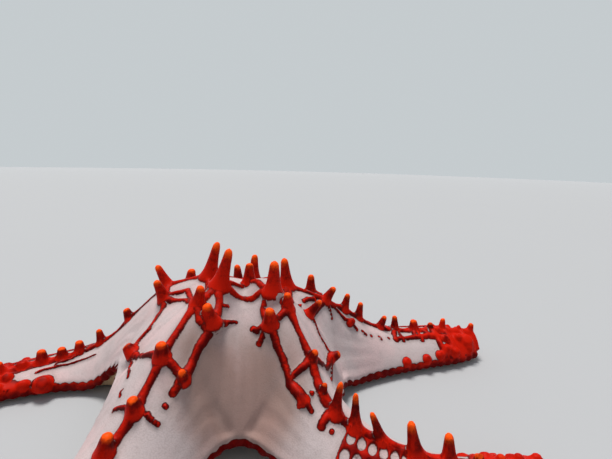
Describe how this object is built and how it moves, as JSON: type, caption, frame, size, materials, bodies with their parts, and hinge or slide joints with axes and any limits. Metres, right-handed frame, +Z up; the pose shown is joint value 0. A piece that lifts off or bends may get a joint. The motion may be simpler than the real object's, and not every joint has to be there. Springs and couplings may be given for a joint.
{
  "type": "sea star",
  "caption": "Life-size knobbed sea star resting on its arms, with a domed disc, red conical spines on a raised net of ridges, plated margins, tube feet and a sieve plate.",
  "frame": {"origin": "centre of the star's box, on the floor that it rests on", "axes": "+Z up from the underside through the disc, +Y away from the viewer of the picture, +X to the viewer's right"},
  "size_m": [0.2264, 0.2436, 0.0628],
  "materials": {
    "grey_skin": "matte",
    "red_skin": "matte",
    "pale_plate": "matte"
  },
  "bodies": {
    "root": {"disc": "grey_skin", "arm_right_base": "red_skin", "arm_right_middle": "red_skin", "arm_right_tip": "red_skin", "arm_rear_base": "red_skin", "arm_rear_middle": "red_skin", "arm_rear_tip": "red_skin", "arm_left_base": "red_skin", "arm_left_middle": "red_skin", "arm_left_tip": "red_skin", "arm_front_left_base": "red_skin", "arm_front_left_middle": "red_skin", "arm_front_left_tip": "red_skin", "arm_front_right_base": "red_skin", "arm_front_right_middle": "red_skin", "arm_front_right_tip": "red_skin", "sieve_plate": "pale_plate"}
  },
  "joints": []
}
